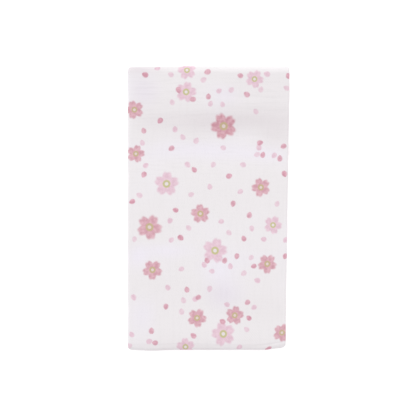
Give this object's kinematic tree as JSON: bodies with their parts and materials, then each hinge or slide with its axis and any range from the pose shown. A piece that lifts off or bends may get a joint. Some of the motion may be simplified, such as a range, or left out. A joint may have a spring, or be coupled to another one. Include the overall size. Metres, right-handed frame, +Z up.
{
  "type": "folded tenugui towel",
  "caption": "Printed cotton gauze towel folded into a flat oblong stack, with rounded folds at its ends and sides, for drying hands and face.",
  "frame": {"origin": "middle of the underside, where the towel lies on a flat surface", "axes": "+X across the folded width, +Y along the folded length towards the outermost fold, +Z up out of the unbroken face"},
  "size_m": [0.1142, 0.2016, 0.0174],
  "materials": {
    "printed_gauze": "matt cotton gauze, off-white with a pink blossom print"
  },
  "bodies": {
    "root": {"towel": "printed_gauze"}
  },
  "joints": []
}
